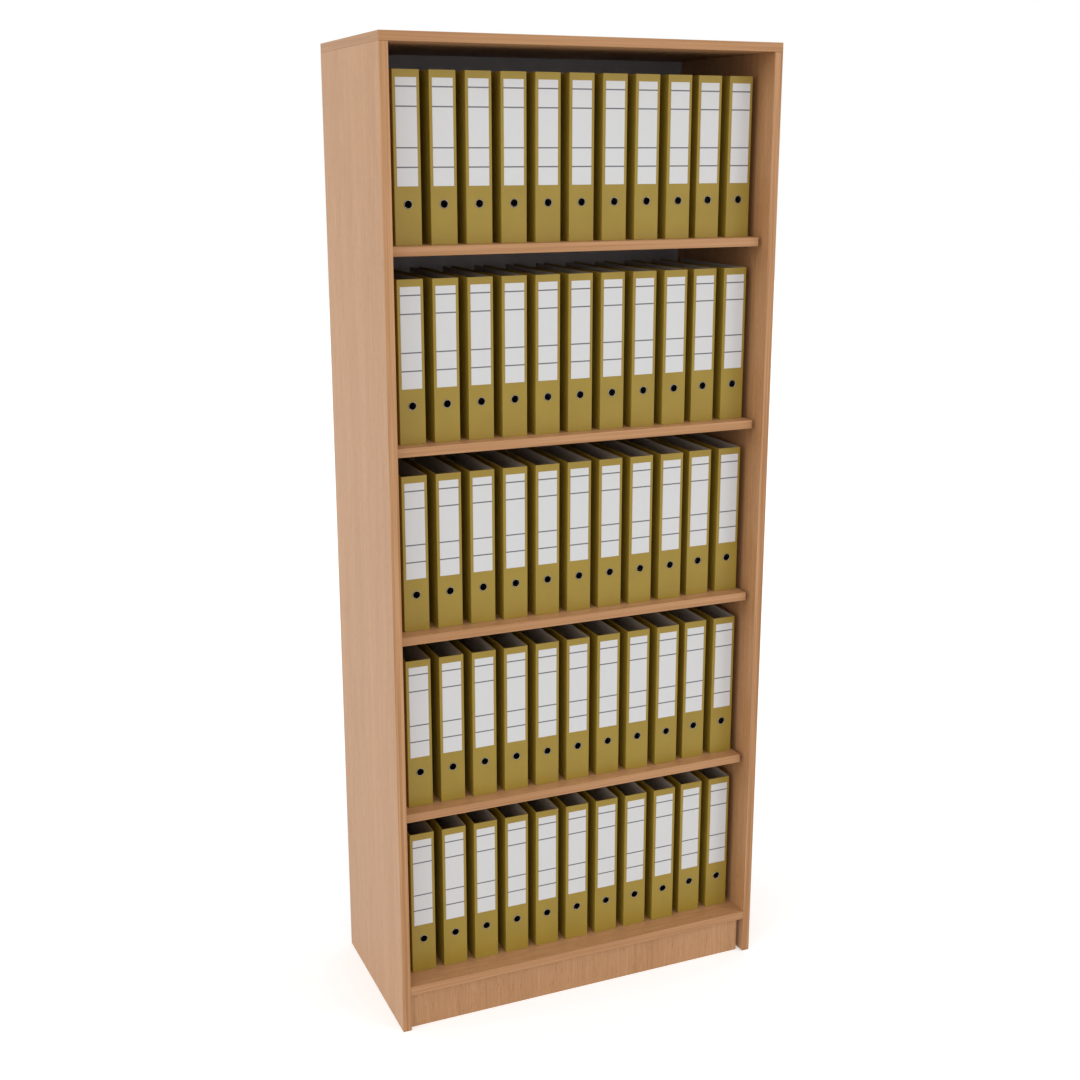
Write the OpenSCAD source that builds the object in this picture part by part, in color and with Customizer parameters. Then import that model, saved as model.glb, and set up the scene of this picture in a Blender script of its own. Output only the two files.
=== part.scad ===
// Filing shelf: a five-tier bookcase in laminated board, filled with lever-arch files.
// Millimetres, +Z up. The origin is on the floor under the middle of the bookcase.
// The open front faces -Y, and left and right are as seen from the front.

/* [Bookcase] */
// Overall height
case_h = 2000; // [1900:5:2200]
// Overall width
case_w = 836; // [832:1:960]
// Overall depth
case_d = 390; // [380:1:450]
// Thickness of the laminated boards
board_t = 18; // [16:0.5:20]
// Height of the plinth below the bottom panel
plinth_h = 82; // [60:1:120]
// How far the plinth stands behind the front edges
plinth_setback = 12; // [4:1:60]
// Thickness of the edging strips on the boards
edging_t = 2; // [0.5:0.1:3]

/* [Back panel] */
// Thickness of the back panel
back_t = 5; // [5:0.5:8]
// Width of the rebate in each side that takes the back panel
rebate_w = 9; // [8:0.5:11]
// Play between the back panel and the boards round it
back_play = 0.5; // [0.2:0.1:0.8]

/* [Shelves] */
// How far the shelves stand behind the front edges
shelf_setback = 22; // [6:1:36]
// Gap between a shelf and the left side
left_gap = 2.5; // [2:0.1:4]
// Gap at the right end of the shelves and of the plinth
right_gap = 10; // [2:0.5:12]
// Gap between a shelf and the back panel
rear_gap = 2; // [0.5:0.5:6]

/* [Dowels] */
// Diameter of the wooden dowels
dowel_d = 8; // [6:0.5:9]
// Length of the wooden dowels
dowel_l = 35; // [25:1:45]
// Depth of a dowel in the face of a board
dowel_in_face = 12; // [8:0.5:13]
// Glue space at each end of a dowel
dowel_space = 1; // [0.5:0.1:1.5]
// Distance of the outer dowels from the ends of their joint
dowel_inset = 45; // [30:1:80]
// Dowels in each joint
dowel_count = 3; // [2:1:5]

/* [Shelf studs] */
// Diameter of the steel studs
stud_d = 5; // [4:0.5:6]
// Depth of a stud in its side
stud_in = 10; // [8:0.5:12]
// Length of a stud inside the bookcase
stud_out = 18; // [15:0.5:20]
// Diameter of the collar against the side
collar_d = 9; // [8:0.5:12]
// Thickness of the collar against the side
collar_t = 1.5; // [1:0.1:1.8]
// Distance of the studs from the front and rear edges of a shelf
stud_inset = 60; // [30:1:100]

/* [Back screws] */
// Shank diameter of the back screws
screw_d = 3.5; // [3:0.1:4]
// Head diameter of the back screws
screw_head_d = 7; // [6:0.1:7.5]
// Height of the countersunk head
screw_head_h = 2.5; // [2:0.1:3]
// Length of the back screws
screw_l = 20; // [16:1:30]
// Screws up each side of the back panel
side_screws = 7; // [3:1:10]
// Screws along the bottom of the back panel
bottom_screws = 4; // [2:1:8]
// Distance of the end screws from the corners of the back panel
screw_inset = 70; // [40:1:120]

/* [Files] */
// Files on each tier
files_per_tier = 11; // [6:1:11]
// Height of a file
file_h = 317; // [300:1:319]
// Depth of a file
file_d = 285; // [260:1:300]
// Width of a file across its spine
file_w = 53; // [50:0.5:54]
// Gap between the left side and the first file
row_start = 22; // [19:0.5:40]
// Gap between the last file and the right side
row_end = 17; // [10:0.5:40]
// How far the spine of the first file stands behind the front edges of the bookcase
file_setback = 54; // [48:1:60]
// How much further out each file stands than the one on its left
file_step = 0.7; // [0:0.1:1]
// Files in the first group: the next one stands back in line with the first file
group_size = 9; // [2:1:11]
// Thickness of the spine and cover boards
cover_t = 2; // [1.5:0.1:2.5]

/* [Spine labels] */
// Width of a label
label_w = 41; // [30:0.5:46]
// Height of a label
label_h = 195; // [150:1:210]
// Distance of a label below the top of its spine
label_drop = 14; // [6:1:20]
// Thickness of a label
label_t = 0.3; // [0.2:0.05:0.5]

/* [Finger rings] */
// Diameter of the finger hole through a ring
ring_bore_d = 14; // [10:0.5:20]
// Wall of the tube through the spine
ring_wall = 0.6; // [0.4:0.1:1]
// Width of the rim round the finger hole
ring_rim = 1.4; // [1.2:0.1:4]
// Height of the rim in front of the spine
ring_rim_t = 1; // [0.5:0.1:1.5]
// Height of the finger hole above the foot of the file
ring_h = 75; // [40:1:85]

/* [Lever arch mechanism] */
// Height of the base plate
plate_h = 150; // [130:1:170]
// Width of the base plate
plate_w = 52; // [46:1:60]
// Thickness of the base plate
plate_t = 1.2; // [0.8:0.1:2]
// Distance of the base plate behind the spine board
plate_setback = 12; // [6:1:30]
// Spacing of the two arches
arch_spacing = 80; // [70:1:90]
// Distance between the two feet of an arch
arch_span = 34; // [28:1:36]
// Straight height of an arch's legs
arch_leg = 20; // [12:0.5:22]
// Wire diameter of the arches
wire_d = 3.5; // [2.5:0.1:4]
// Length of the rocker that joins the two arches
rocker_l = 94; // [92:1:100]
// Length of the lever
lever_l = 68; // [50:1:76]
// Width of the lever
lever_w = 14; // [8:1:18]
// Thickness of the lever
lever_t = 1.5; // [1:0.1:2]
// Height of the lever above the base plate
lever_rise = 9; // [5:0.5:14]

/* [Clearances] */
// Radial play round dowels, studs, screws and finger rings
bore_play = 0.05; // [0.02:0.01:0.1]
// Gap under what stands loose: files on boards, shelves on studs
seat_gap = 0.3; // [0.2:0.05:0.4]
// Joint between neighbouring strips, boards and rods of one kind
joint_gap = 0.1; // [0.05:0.05:0.3]

/* [Hidden] */
$fn = 48;

// Tiers are counted from the top: 1 is under the top panel, 5 is on the bottom panel
tiers = 5;
shelves = tiers - 1;
// The file of each tier that is drawn out by itself, counted from the left
single_index = [8, 3, 6, 5, 2];

// Colours of the finishes
beech = [0.73, 0.54, 0.36];
edging_beech = [0.69, 0.51, 0.36];
back_grey = [0.66, 0.64, 0.65];
dowel_wood = [0.80, 0.68, 0.50];
olive = [0.59, 0.49, 0.19];
paper_grey = [0.82, 0.81, 0.82];

// How far a cut runs past the face that it opens
cut = 1;

// Planes of the carcass
front_y = -case_d / 2;
back_y = case_d / 2;
board_front_y = front_y + edging_t;
back_face_y = back_y - back_t;
inner_w = case_w - 2 * board_t;
side_h = case_h - board_t;
floor_z = plinth_h + board_t;

// Clear height of a tier, and the height of a tier's floor
tier_clear = (side_h - floor_z - shelves * board_t) / tiers;
function tier_floor(tier) = floor_z + (tiers - tier) * (tier_clear + board_t);

// Shelves and plinth
shelf_left_x = -inner_w / 2 + left_gap;
shelf_w = inner_w - left_gap - right_gap;
shelf_front_y = front_y + shelf_setback;
shelf_rear_y = back_face_y - rear_gap;
plinth_y = front_y + plinth_setback;
plinth_w = inner_w - right_gap;

// Dowels: the joint's plane is z = 0, and +z runs into the face of a board
dowel_in_edge = dowel_l - dowel_in_face;

// Finger rings and labels
ring_tube_r = ring_bore_d / 2 + ring_wall;
ring_rim_r = ring_bore_d / 2 + ring_rim;
ring_back_t = ring_wall;

// Lever arch mechanism, mid-height on the left cover
plate_foot = (file_h - plate_h) / 2;
arch_r = arch_span / 2;
arch_y = cover_t + plate_setback + plate_w / 2;

// Evenly spaced position number i of n between two ends
function spread(first, last, i, n) = first + (last - first) * i / (n - 1);

// Left edge of the spine in slot number slot: the first and the last keep their gaps to the sides
function slot_x(slot) =
    spread(-inner_w / 2 + row_start, inner_w / 2 - row_end - file_w, slot - 1, files_per_tier);

// Face of the spine in slot number slot
function slot_y(slot) = front_y + file_setback - file_step * ((slot - 1) % group_size);

// A board from its lowest corner to its highest
module slab(low, high) {
    translate(low) cube(high - low);
}

// Dowel joints

module dowel() {
    translate([0, 0, -dowel_in_edge]) cylinder(d = dowel_d, h = dowel_l);
}

module dowel_hole() {
    translate([0, 0, -dowel_in_edge - dowel_space])
        cylinder(d = dowel_d + 2 * bore_play, h = dowel_l + 2 * dowel_space);
}

// Children stand upright in the joint between the top panel and both sides
module at_top_dowels() {
    for (side = [-1, 1], i = [0 : dowel_count - 1])
        translate([
            side * (case_w - board_t) / 2,
            spread(front_y + dowel_inset, back_face_y - dowel_inset, i, dowel_count),
            side_h
        ]) children();
}

// Children lie in the joint between the bottom panel and one side, pointing outwards
module at_bottom_dowels(side) {
    for (i = [0 : dowel_count - 1])
        translate([
            side * inner_w / 2,
            spread(front_y + dowel_inset, back_face_y - dowel_inset, i, dowel_count),
            plinth_h + board_t / 2
        ]) rotate([0, side * 90, 0]) children();
}

// Children stand upright in the joint between the plinth and the bottom panel
module at_plinth_dowels() {
    for (i = [0 : dowel_count - 1])
        translate([
            spread(-inner_w / 2 + dowel_inset, inner_w / 2 - right_gap - dowel_inset, i, dowel_count),
            plinth_y + board_t / 2,
            plinth_h
        ]) children();
}

// Shelf studs: the side's face is z = 0, and +z runs into the bookcase

module stud() {
    translate([0, 0, -stud_in]) cylinder(d = stud_d, h = stud_in + stud_out);
    cylinder(d = collar_d, h = collar_t);
}

module stud_hole() {
    translate([0, 0, -stud_in - bore_play])
        cylinder(d = stud_d + 2 * bore_play, h = stud_in + bore_play + cut);
}

module at_studs(side) {
    for (shelf = [1 : shelves], y = [shelf_front_y + stud_inset, shelf_rear_y - stud_inset])
        translate([
            side * inner_w / 2,
            y,
            tier_floor(shelf) - board_t - seat_gap - stud_d / 2
        ]) rotate([0, -side * 90, 0]) children();
}

// Back screws: the rear face of the back panel is z = 0, and +z runs forwards

module screw_shape(play) {
    rotate_extrude() polygon([
        [0, 0],
        [screw_head_d / 2 + play, 0],
        [screw_d / 2 + play, screw_head_h],
        [screw_d / 2 + play, screw_l + play],
        [0, screw_l + play]
    ]);
}

module at_side_screws(side) {
    for (i = [0 : side_screws - 1])
        translate([
            side * (inner_w + rebate_w) / 2,
            back_y,
            spread(plinth_h + screw_inset, side_h - screw_inset, i, side_screws)
        ]) rotate([90, 0, 0]) children();
}

module at_bottom_screws() {
    for (i = [0 : bottom_screws - 1])
        translate([
            spread(-inner_w / 2 + screw_inset, inner_w / 2 - screw_inset, i, bottom_screws),
            back_y,
            plinth_h + board_t / 2
        ]) rotate([90, 0, 0]) children();
}

// Carcass

// One side panel: the left one is side -1, the right one is side 1
module side_panel(side) {
    color(beech) difference() {
        slab(
            [side * (inner_w + board_t) / 2 - board_t / 2, board_front_y, 0],
            [side * (inner_w + board_t) / 2 + board_t / 2, back_y, side_h]
        );
        translate([side * (inner_w / 2 + rebate_w / 2 - cut / 2), back_y - back_t / 2 + cut / 2, side_h / 2])
            cube([rebate_w + cut, back_t + cut, side_h + 2 * cut], center = true);
        at_top_dowels() dowel_hole();
        at_bottom_dowels(side) dowel_hole();
        at_studs(side) stud_hole();
        at_side_screws(side) screw_shape(bore_play);
    }
}

module left_side() {
    side_panel(-1);
}

module right_side() {
    side_panel(1);
}

module top_panel() {
    color(beech) difference() {
        slab(
            [-case_w / 2 + edging_t, board_front_y, side_h],
            [case_w / 2 - edging_t, back_y, case_h]
        );
        at_top_dowels() dowel_hole();
    }
}

module bottom_panel() {
    color(beech) difference() {
        slab([-inner_w / 2, board_front_y, plinth_h], [inner_w / 2, back_face_y, floor_z]);
        at_bottom_dowels(-1) dowel_hole();
        at_bottom_dowels(1) dowel_hole();
        at_plinth_dowels() dowel_hole();
        at_bottom_screws() screw_shape(bore_play);
    }
}

module plinth() {
    color(beech) difference() {
        slab(
            [-inner_w / 2, plinth_y, 0],
            [-inner_w / 2 + plinth_w, plinth_y + board_t, plinth_h]
        );
        at_plinth_dowels() dowel_hole();
    }
}

module back_panel() {
    color(back_grey) difference() {
        slab(
            [-inner_w / 2 - rebate_w + back_play, back_face_y, plinth_h],
            [inner_w / 2 + rebate_w - back_play, back_y, side_h - back_play]
        );
        at_side_screws(-1) screw_shape(bore_play);
        at_side_screws(1) screw_shape(bore_play);
        at_bottom_screws() screw_shape(bore_play);
    }
}

module carcass_edging() {
    color(edging_beech) {
        for (side = [-1, 1]) {
            slab(
                [side * (inner_w + board_t) / 2 - board_t / 2, front_y, 0],
                [side * (inner_w + board_t) / 2 + board_t / 2, board_front_y, side_h - joint_gap]
            );
            slab(
                [side * (case_w - edging_t) / 2 - edging_t / 2, board_front_y + joint_gap, side_h],
                [side * (case_w - edging_t) / 2 + edging_t / 2, back_y, case_h]
            );
        }
        slab([-case_w / 2, front_y, side_h], [case_w / 2, board_front_y, case_h]);
        slab(
            [-inner_w / 2 + joint_gap, front_y, plinth_h],
            [inner_w / 2 - joint_gap, board_front_y, floor_z]
        );
    }
}

module dowels() {
    color(dowel_wood) {
        at_top_dowels() dowel();
        at_bottom_dowels(-1) dowel();
        at_bottom_dowels(1) dowel();
        at_plinth_dowels() dowel();
    }
}

module shelf_studs() {
    color("silver") {
        at_studs(-1) stud();
        at_studs(1) stud();
    }
}

module back_screws() {
    color("silver") {
        at_side_screws(-1) screw_shape(0);
        at_side_screws(1) screw_shape(0);
        at_bottom_screws() screw_shape(0);
    }
}

// Shelves

module shelf(tier) {
    color(beech) slab(
        [shelf_left_x, shelf_front_y + edging_t, tier_floor(tier) - board_t],
        [shelf_left_x + shelf_w, shelf_rear_y, tier_floor(tier)]
    );
}

module shelf_edging(tier) {
    color(edging_beech) slab(
        [shelf_left_x, shelf_front_y, tier_floor(tier) - board_t],
        [shelf_left_x + shelf_w, shelf_front_y + edging_t, tier_floor(tier)]
    );
}

// Lever-arch file: x = 0 is the left of the spine, y = 0 its front and z = 0 its foot

module spine_board() {
    difference() {
        cube([file_w, cover_t, file_h]);
        translate([file_w / 2, -cut, ring_h]) rotate([-90, 0, 0])
            cylinder(r = ring_tube_r + bore_play, h = cover_t + 2 * cut);
    }
}

module file_boards() {
    color(olive) {
        spine_board();
        for (x = [0, file_w - cover_t])
            translate([x, cover_t + joint_gap, 0])
                cube([cover_t, file_d - cover_t - joint_gap, file_h]);
    }
}

module file_label() {
    color(paper_grey) translate([(file_w - label_w) / 2, -label_t, file_h - label_drop - label_h])
        cube([label_w, label_t, label_h]);
}

module finger_ring() {
    color("silver") translate([file_w / 2, 0, ring_h]) rotate([-90, 0, 0]) rotate_extrude() polygon([
        [ring_bore_d / 2, -ring_rim_t],
        [ring_rim_r, -ring_rim_t],
        [ring_rim_r, 0],
        [ring_tube_r, 0],
        [ring_tube_r, cover_t],
        [ring_rim_r, cover_t],
        [ring_rim_r, cover_t + ring_back_t],
        [ring_bore_d / 2, cover_t + ring_back_t]
    ]);
}

// Mechanism: x = 0 is the face of the base plate, and +x runs across the file

// An arch opens at its front leg, which stands on the rocker
module arch() {
    for (foot = [[wire_d + 2 * joint_gap, -arch_r], [joint_gap, arch_r]])
        translate([foot.x, foot.y, 0]) rotate([0, 90, 0]) cylinder(d = wire_d, h = arch_leg - foot.x);
    translate([arch_leg, 0, 0]) rotate([0, 0, -90]) rotate_extrude(angle = 180)
        translate([arch_r, 0]) circle(d = wire_d);
}

module rocker() {
    translate([wire_d / 2 + joint_gap, -arch_r, -rocker_l / 2]) cylinder(d = wire_d, h = rocker_l);
}

// Side view of the lever: x is its height over the plate, y runs up the file
module lever_profile() {
    polygon([
        [0, 0],
        [lever_t, 0],
        [lever_rise, lever_rise],
        [lever_rise, lever_l],
        [lever_rise - lever_t, lever_l],
        [lever_rise - lever_t, lever_rise + lever_t],
        [0, lever_t]
    ]);
}

module file_mechanism() {
    color("silver") translate([cover_t, 0, file_h / 2]) {
        translate([0, cover_t + plate_setback, -plate_h / 2]) cube([plate_t, plate_w, plate_h]);
        translate([plate_t, arch_y, 0]) {
            rocker();
            for (z = [-arch_spacing / 2, arch_spacing / 2])
                translate([0, 0, z]) arch();
            translate([joint_gap, lever_w / 2, 0]) rotate([90, 0, 0]) linear_extrude(height = lever_w)
                lever_profile();
        }
    }
}

// Places its children in one slot of a tier
module in_slot(tier, slot) {
    translate([slot_x(slot), slot_y(slot), tier_floor(tier) + seat_gap]) children();
}

// Places its children in every slot of a tier but the single file's
module in_row(tier) {
    for (slot = [1 : files_per_tier])
        if (slot != single_index[tier - 1]) in_slot(tier, slot) children();
}

module in_single(tier) {
    in_slot(tier, single_index[tier - 1]) children();
}

left_side();
right_side();
top_panel();
bottom_panel();
plinth();
back_panel();
carcass_edging();
dowels();
shelf_studs();
back_screws();
shelf(1);  // shelf_1
shelf(2);  // shelf_2
shelf(3);  // shelf_3
shelf(4);  // shelf_4
shelf_edging(1);  // shelf_1_edging
shelf_edging(2);  // shelf_2_edging
shelf_edging(3);  // shelf_3_edging
shelf_edging(4);  // shelf_4_edging
in_row(1) file_boards();  // file_row_1_boards
in_row(1) file_label();  // file_row_1_labels
in_row(1) finger_ring();  // file_row_1_finger_rings
in_row(1) file_mechanism();  // file_row_1_mechanisms
in_row(2) file_boards();  // file_row_2_boards
in_row(2) file_label();  // file_row_2_labels
in_row(2) finger_ring();  // file_row_2_finger_rings
in_row(2) file_mechanism();  // file_row_2_mechanisms
in_row(3) file_boards();  // file_row_3_boards
in_row(3) file_label();  // file_row_3_labels
in_row(3) finger_ring();  // file_row_3_finger_rings
in_row(3) file_mechanism();  // file_row_3_mechanisms
in_row(4) file_boards();  // file_row_4_boards
in_row(4) file_label();  // file_row_4_labels
in_row(4) finger_ring();  // file_row_4_finger_rings
in_row(4) file_mechanism();  // file_row_4_mechanisms
in_row(5) file_boards();  // file_row_5_boards
in_row(5) file_label();  // file_row_5_labels
in_row(5) finger_ring();  // file_row_5_finger_rings
in_row(5) file_mechanism();  // file_row_5_mechanisms
in_single(1) file_boards();  // single_file_1_boards
in_single(1) file_label();  // single_file_1_label
in_single(1) finger_ring();  // single_file_1_finger_ring
in_single(1) file_mechanism();  // single_file_1_mechanism
in_single(2) file_boards();  // single_file_2_boards
in_single(2) file_label();  // single_file_2_label
in_single(2) finger_ring();  // single_file_2_finger_ring
in_single(2) file_mechanism();  // single_file_2_mechanism
in_single(3) file_boards();  // single_file_3_boards
in_single(3) file_label();  // single_file_3_label
in_single(3) finger_ring();  // single_file_3_finger_ring
in_single(3) file_mechanism();  // single_file_3_mechanism
in_single(4) file_boards();  // single_file_4_boards
in_single(4) file_label();  // single_file_4_label
in_single(4) finger_ring();  // single_file_4_finger_ring
in_single(4) file_mechanism();  // single_file_4_mechanism
in_single(5) file_boards();  // single_file_5_boards
in_single(5) file_label();  // single_file_5_label
in_single(5) finger_ring();  // single_file_5_finger_ring
in_single(5) file_mechanism();  // single_file_5_mechanism
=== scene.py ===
import logging
import math
from collections.abc import Callable, Iterator, Sequence
from contextlib import contextmanager
from dataclasses import dataclass, field
from enum import Enum

import bmesh
import bpy
from mathutils import Matrix, Vector


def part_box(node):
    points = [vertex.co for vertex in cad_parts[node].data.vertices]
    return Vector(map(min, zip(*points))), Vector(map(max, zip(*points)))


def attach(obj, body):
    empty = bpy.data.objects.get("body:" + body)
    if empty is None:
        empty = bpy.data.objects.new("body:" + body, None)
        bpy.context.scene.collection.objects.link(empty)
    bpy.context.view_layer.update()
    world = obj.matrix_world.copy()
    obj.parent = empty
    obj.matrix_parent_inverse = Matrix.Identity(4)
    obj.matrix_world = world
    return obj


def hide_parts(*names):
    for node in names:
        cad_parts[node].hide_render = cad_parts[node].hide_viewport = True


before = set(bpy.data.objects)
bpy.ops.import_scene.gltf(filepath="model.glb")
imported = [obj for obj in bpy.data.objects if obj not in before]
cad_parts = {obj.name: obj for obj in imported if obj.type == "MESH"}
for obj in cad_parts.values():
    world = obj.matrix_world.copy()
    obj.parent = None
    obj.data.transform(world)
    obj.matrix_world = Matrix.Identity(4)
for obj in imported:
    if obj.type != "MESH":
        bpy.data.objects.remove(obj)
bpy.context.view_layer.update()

LOG = logging.getLogger("filing_shelf")

MM = 0.001
# Two points closer than this are one point
SAME = 0.01 * MM
X, Y, Z = 0, 1, 2
# A face looks along an axis when more than this share of its normal does
FACING = 0.9
# An edge runs along an axis when more than this share of its length does
RUNNING = 0.99
SHELVES = 4
TIERS = 5

Colour = tuple[float, float, float]
Point = tuple[float, float, float]
WHITE = (1.0, 1.0, 1.0, 1.0)


def linear(colour: Colour) -> tuple[float, float, float, float]:
    """Turns a colour as it looks on a screen into the linear value that a shader takes.

    Args:
        colour: red, green and blue from 0 to 255.

    Returns:
        The linear colour with an alpha of 1.
    """
    parts = [part / 255 for part in colour]
    return (*[p / 12.92 if p <= 0.04045 else ((p + 0.055) / 1.055) ** 2.4 for p in parts], 1.0)


class Run(Enum):
    """The axis that a grain or a brushed finish runs along."""

    ALONG_X = X
    ALONG_Y = Y
    ALONG_Z = Z

    def stretch(self, across: float, along: float) -> Point:
        """Gives the scale of a pattern that is drawn out along this axis.

        Args:
            across: repeats in a metre across the run.
            along: repeats in a metre along the run.

        Returns:
            The scale for the three axes.
        """
        return tuple(along if axis == self.value else across for axis in (X, Y, Z))


@dataclass(frozen=True)
class Box:
    """A box between two corners, in metres."""

    low: Vector
    high: Vector

    @classmethod
    def of_node(cls, node: str) -> "Box":
        """Reads the box of a CAD node from the frame."""
        return cls(*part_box(node))

    @property
    def size(self) -> Vector:
        """The lengths of the three sides."""
        return self.high - self.low

    @property
    def centre(self) -> Vector:
        """The middle of the box."""
        return (self.low + self.high) / 2

    @property
    def long_axis(self) -> int:
        """The axis of the longest side."""
        return max((X, Y, Z), key=lambda axis: self.size[axis])

    def entered_by(self, others: Sequence["Box"]) -> list["Box"]:
        """Picks the boxes that share some space with this one.

        Args:
            others: the boxes to choose from.

        Returns:
            Those that enter this box, in their own order.
        """
        return [
            other for other in others
            if all(
                other.low[axis] < self.high[axis] - SAME and other.high[axis] > self.low[axis] + SAME
                for axis in (X, Y, Z)
            )
        ]


def solids_of(node: str) -> list[Box]:
    """Measures each separate solid of a CAD node.

    Args:
        node: name of a node that holds several solids.

    Returns:
        One box for each solid, in the order of their places, so that it is the same in each run.
    """
    shape = bmesh.new()
    shape.from_mesh(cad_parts[node].data)
    bmesh.ops.remove_doubles(shape, verts=shape.verts, dist=SAME)
    unseen = set(shape.verts)
    boxes = []
    while unseen:
        solid, queue = [], [unseen.pop()]
        while queue:
            vert = queue.pop()
            solid.append(vert.co.copy())
            near = {edge.other_vert(vert) for edge in vert.link_edges} & unseen
            unseen -= near
            queue.extend(near)
        boxes.append(Box(
            Vector(min(co[axis] for co in solid) for axis in (X, Y, Z)),
            Vector(max(co[axis] for co in solid) for axis in (X, Y, Z)),
        ))
    shape.free()
    return sorted(boxes, key=lambda box: tuple(round(place / SAME) for place in box.low))


class Wiring:
    """The nodes of a material or of the surroundings."""

    def __init__(self, tree: bpy.types.NodeTree) -> None:
        """Takes the node tree to add to."""
        self.tree = tree

    def add(self, kind: str, inputs: dict, **settings: object) -> bpy.types.Node:
        """Adds a node and fills its inputs with values or with other nodes' outputs.

        Args:
            kind: type of the node, without its ShaderNode prefix.
            inputs: value or output socket for each input, by name or number.
            **settings: settings of the node itself.

        Returns:
            The new node.
        """
        node = self.tree.nodes.new("ShaderNode" + kind)
        for name, value in settings.items():
            setattr(node, name, value)
        for key, value in inputs.items():
            if isinstance(value, bpy.types.NodeSocket):
                self.tree.links.new(value, node.inputs[key])
            else:
                node.inputs[key].default_value = value
        return node

    def higher(self, first: bpy.types.NodeSocket, second: bpy.types.NodeSocket) -> bpy.types.NodeSocket:
        """Gives the higher of two values."""
        return self.add("Math", {0: first, 1: second}, operation="MAXIMUM").outputs[0]

    def seen(self) -> bpy.types.NodeSocket:
        """Tells what is looked at from what lights the object.

        Returns:
            1 for what the camera or a reflection sees, and 0 for light that falls on the object.
        """
        rays = self.add("LightPath", {}).outputs
        mirrored = self.higher(rays["Is Glossy Ray"], rays["Is Transmission Ray"])
        return self.higher(rays["Is Camera Ray"], mirrored)


class Paint(Wiring):
    """One material: a Principled shader and the patterns that drive it."""

    def __init__(self, name: str, roughness: float, specular: float = 0.5, metallic: float = 0.0) -> None:
        """Starts a material.

        Args:
            name: name of the material.
            roughness: roughness that is the same all over, until a pattern drives it.
            specular: specular level of the shader.
            metallic: 1 for bare metal.
        """
        self.material = bpy.data.materials.new(name)
        self.material.use_nodes = True
        super().__init__(self.material.node_tree)
        self.shader = self.tree.nodes["Principled BSDF"]
        self.shader.inputs["Roughness"].default_value = roughness
        self.shader.inputs["Specular IOR Level"].default_value = specular
        self.shader.inputs["Metallic"].default_value = metallic

    def place(self, scale: Point, shift: Point = (0.0, 0.0, 0.0)) -> bpy.types.NodeSocket:
        """Gives the place on the object, scaled and shifted for a pattern."""
        spot = self.add("TexCoord", {}).outputs["Object"]
        return self.add("Mapping", {"Vector": spot, "Location": shift, "Scale": scale}).outputs["Vector"]

    def noise(self, scale: Point, detail: float = 2.0, wave: float = 0.0,
              shift: Point = (0.0, 0.0, 0.0)) -> bpy.types.NodeSocket:
        """Adds a cloudy pattern.

        Args:
            scale: repeats in a metre along the three axes.
            detail: how many finer layers it has.
            wave: how much it is distorted.
            shift: shift of the pattern in its own units.

        Returns:
            A value round 0.5.
        """
        spot = self.place(scale, shift)
        pattern = self.add("TexNoise", {"Vector": spot, "Scale": 1.0, "Detail": detail, "Distortion": wave})
        return pattern.outputs["Fac"]

    def cells(self, scale: Point) -> bpy.types.NodeSocket:
        """Adds a pattern of cells, each in a grey of its own."""
        pattern = self.add("TexVoronoi", {"Vector": self.place(scale), "Scale": 1.0})
        return self.add("SeparateColor", {"Color": pattern.outputs["Color"]}).outputs["Red"]

    def steepen(self, value: bpy.types.NodeSocket, gain: float, middle: float = 0.5) -> bpy.types.NodeSocket:
        """Raises the contrast of a pattern round a middle value, and keeps it from 0 to 1."""
        inputs = {0: value, 1: gain, 2: 0.5 - middle * gain}
        return self.add("Math", inputs, operation="MULTIPLY_ADD", use_clamp=True).outputs[0]

    def add_up(self, first: bpy.types.NodeSocket, second: bpy.types.NodeSocket,
               share: float) -> bpy.types.NodeSocket:
        """Mixes two patterns, share being the second one's part."""
        return self.add("Mix", {0: share, 2: first, 3: second}, data_type="FLOAT").outputs[0]

    def blend(self, factor: bpy.types.NodeSocket, low: object, high: object) -> bpy.types.NodeSocket:
        """Blends two colours by a pattern.

        Args:
            factor: pattern from 0 to 1.
            low: colour or colour socket where the pattern is 0.
            high: colour or colour socket where the pattern is 1.

        Returns:
            The blended colour.
        """
        ends = [end if isinstance(end, bpy.types.NodeSocket) else linear(end) for end in (low, high)]
        return self.add("Mix", {0: factor, 6: ends[0], 7: ends[1]}, data_type="RGBA").outputs[2]

    def colour(self, socket: bpy.types.NodeSocket) -> None:
        """Drives the base colour."""
        self.tree.links.new(socket, self.shader.inputs["Base Color"])

    def vary_roughness(self, pattern: bpy.types.NodeSocket, low: float, high: float) -> None:
        """Lets the roughness follow a pattern between two values."""
        ranged = self.add("MapRange", {"Value": pattern, "To Min": low, "To Max": high})
        self.tree.links.new(ranged.outputs["Result"], self.shader.inputs["Roughness"])

    def bump(self, height: bpy.types.NodeSocket, depth: float, strength: float = 1.0) -> None:
        """Lets a pattern raise the surface, depth being the height of the relief in metres."""
        relief = self.add("Bump", {"Height": height, "Distance": depth, "Strength": strength})
        self.tree.links.new(relief.outputs["Normal"], self.shader.inputs["Normal"])


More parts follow.
